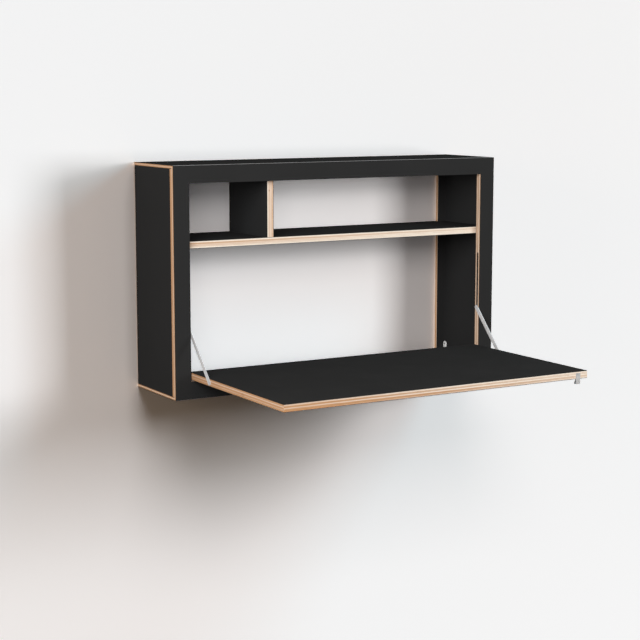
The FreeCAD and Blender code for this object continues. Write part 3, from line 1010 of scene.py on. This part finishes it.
def set_lamp(name, place, size, power, tint):
    """A square soft lamp that looks at the desk."""
    lamp = bpy.data.lights.new(name, "AREA")
    lamp.shape = "SQUARE"
    lamp.size = size
    lamp.energy = power
    lamp.color = tint
    holder = bpy.data.objects.new(name, lamp)
    holder.location = place
    holder.rotation_mode = "QUATERNION"
    holder.rotation_quaternion = (desk_middle() - Vector(place)).to_track_quat("-Z", "Y")
    holder.visible_camera = False
    bpy.context.scene.collection.objects.link(holder)
    return holder


def lamp_settings(settings, name):
    """Place, size, power and tint of one lamp in front of the wall."""
    return [getattr(settings, f"{name}_{fact}") for fact in ("place", "size", "power", "tint")]


def keep_off_stage(lamp, *sheets):
    """Lets a lamp light the desk without lighting some sheets of the stage."""
    stage = bpy.data.collections.new(f"{lamp.name}_stage")
    for name in sheets:
        stage.objects.link(bpy.data.objects[name])
    for member in stage.collection_objects:
        member.light_linking.link_state = "EXCLUDE"
    lamp.light_linking.receiver_collection = stage


def set_lamps(settings):
    """The lamps in front of the wall, two fills for the desk, and a lamp behind the wall for its back."""
    for name in WALL_LAMPS:
        set_lamp(f"{name}_lamp", *lamp_settings(settings, name))
    keep_off_stage(set_lamp("fill_lamp", *lamp_settings(settings, "fill")), "wall", "floor", "inner_wall")
    keep_off_stage(set_lamp("glow_lamp", *lamp_settings(settings, "glow")), "wall", "floor")
    middle = desk_middle()
    behind = (middle.x, settings.back_distance, middle.z)
    lamp = set_lamp("back_lamp", behind, settings.back_size, settings.back_power, WHITE)
    lamp.visible_glossy = False


def set_sky(settings):
    """Even light from all round, seen as white by the camera and in reflections."""
    world = bpy.data.worlds.new("sky")
    world.use_nodes = True
    world.node_tree.nodes.clear()
    bench = NodeBench(world.node_tree)
    ray = bench.add("ShaderNodeLightPath").outputs
    seen = bench.math("MAXIMUM", ray["Is Camera Ray"], ray["Is Transmission Ray"])
    seen = bench.math("MAXIMUM", seen, ray["Is Glossy Ray"])
    tint = bench.tint(seen, opaque(settings.sky_tint), opaque(WHITE))
    sky = bench.add("ShaderNodeBackground", {"Color": tint, "Strength": bench.mix(seen, settings.sky, 1.0)})
    bench.add("ShaderNodeOutputWorld", {"Surface": sky.outputs[0]})
    bpy.context.scene.world = world


def set_camera(settings):
    """The camera at the photograph's viewing angle."""
    data = bpy.data.cameras.new("photo_camera")
    data.sensor_width = settings.camera_sensor
    data.lens = settings.camera_lens
    camera = bpy.data.objects.new("photo_camera", data)
    level = math.cos(settings.camera_pitch)
    ahead = Vector((
        math.sin(settings.camera_yaw) * level,
        math.cos(settings.camera_yaw) * level,
        -math.sin(settings.camera_pitch),
    ))
    camera.location = settings.camera_place
    camera.rotation_mode = "QUATERNION"
    camera.rotation_quaternion = ahead.to_track_quat("-Z", "Y")
    bpy.context.scene.collection.objects.link(camera)
    bpy.context.scene.camera = camera


class WALLDESK_OT_stage(Operator):
    """Set the wall, floor, lamps, sky and camera"""

    bl_idname = "wall_desk.stage"
    bl_label = "Stage"

    def execute(self, context):
        settings = context.scene.desk_stage
        set_room(settings)
        set_lamps(settings)
        set_sky(settings)
        set_camera(settings)
        context.scene.view_settings.view_transform = "Standard"
        return {"FINISHED"}


STEPS = (
    WALLDESK_OT_laminate_sheets,
    WALLDESK_OT_plywood_cores,
    WALLDESK_OT_dowels,
    WALLDESK_OT_stays,
    WALLDESK_OT_glides,
    WALLDESK_OT_hinges,
    WALLDESK_OT_corner_brackets,
    WALLDESK_OT_pull_tab,
    WALLDESK_OT_stage,
)
SETTINGS = {
    "desk_laminate": LaminateSettings,
    "desk_plywood": PlywoodSettings,
    "desk_fittings": FittingSettings,
    "desk_stage": StageSettings,
}


class WALLDESK_PT_sidebar(Panel):
    """The desk's settings and steps"""

    bl_idname = "WALLDESK_PT_sidebar"
    bl_label = "Wall Desk"
    bl_space_type = "VIEW_3D"
    bl_region_type = "UI"
    bl_category = "Wall Desk"

    def draw(self, context):
        for name, group in SETTINGS.items():
            box = self.layout.box()
            for setting in group.__annotations__:
                box.prop(getattr(context.scene, name), setting)
        for step in STEPS:
            self.layout.operator(step.bl_idname)


CLASSES = (*SETTINGS.values(), *STEPS, WALLDESK_PT_sidebar)


def register():
    """Adds the settings, operators and panel to Blender."""
    for cls in CLASSES:
        bpy.utils.register_class(cls)
    for name, group in SETTINGS.items():
        setattr(bpy.types.Scene, name, PointerProperty(type=group))


def unregister():
    """Takes the settings, operators and panel out again."""
    for name in SETTINGS:
        delattr(bpy.types.Scene, name)
    for cls in reversed(CLASSES):
        bpy.utils.unregister_class(cls)


def main():
    """Builds the whole picture."""
    register()
    bpy.ops.wall_desk.laminate_sheets()
    bpy.ops.wall_desk.plywood_cores()
    bpy.ops.wall_desk.dowels()
    bpy.ops.wall_desk.stays()
    bpy.ops.wall_desk.glides()
    bpy.ops.wall_desk.hinges()
    bpy.ops.wall_desk.corner_brackets()
    bpy.ops.wall_desk.pull_tab()
    bpy.ops.wall_desk.stage()


if __name__ == "__main__":
    main()
